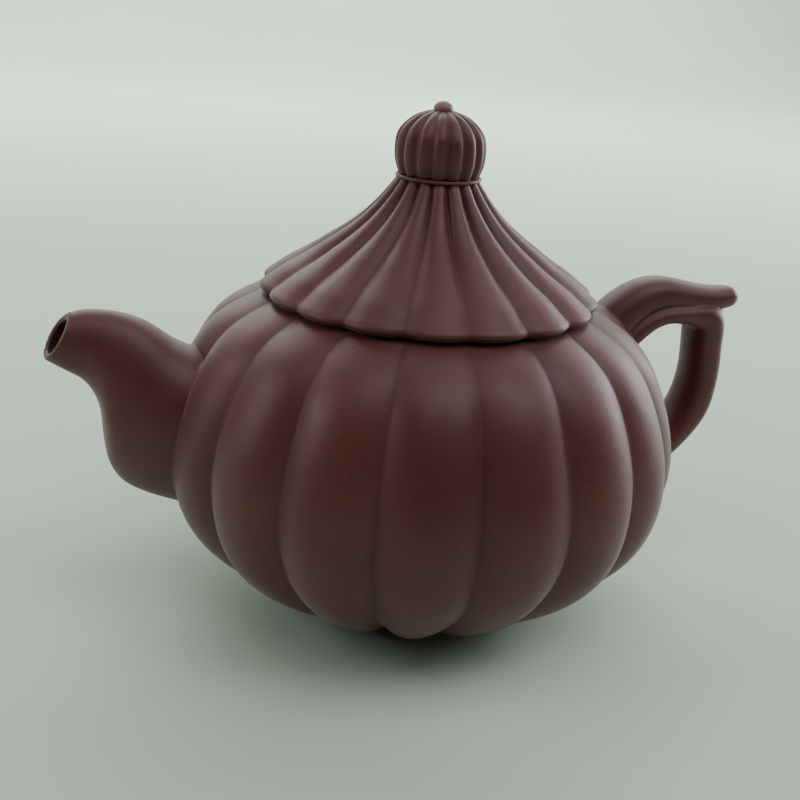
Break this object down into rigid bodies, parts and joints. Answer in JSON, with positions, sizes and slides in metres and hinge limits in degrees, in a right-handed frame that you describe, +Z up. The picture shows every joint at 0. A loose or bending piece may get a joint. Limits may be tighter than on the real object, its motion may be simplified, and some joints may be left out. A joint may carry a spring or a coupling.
{
  "type": "clay teapot",
  "caption": "Melon-ribbed dark clay teapot with a one-bend spout, a loop handle with a projecting tip and a lift-off pagoda lid with a ribbed ball knob.",
  "frame": {"origin": "on the pot's axis, in the plane that the foot ring stands on", "axes": "+Z up along the pot's axis, spout along -X, handle along +X"},
  "size_m": [0.1337, 0.0968, 0.0941],
  "materials": {
    "clay": "unglazed, burnished satin-matte with fine sandy grain",
    "bead_clay": "unglazed, polished by handling"
  },
  "bodies": {
    "pot": {"body_lower": "clay", "body_upper": "clay", "base_disc": "clay", "foot_ring": "clay", "mouth_collar": "clay", "strainer": "clay", "spout": "clay", "handle_arm": "clay", "handle_grip": "clay"},
    "lid": {"lid_shell": "clay", "lid_flange": "clay", "knob_collar": "clay", "knob": "clay", "knob_bead": "bead_clay"}
  },
  "joints": [
    {"name": "lid_lift", "type": "slide", "parent": "pot", "child": "lid", "axis": [0, 0, 1], "range_m": [0, 0.06]}
  ]
}
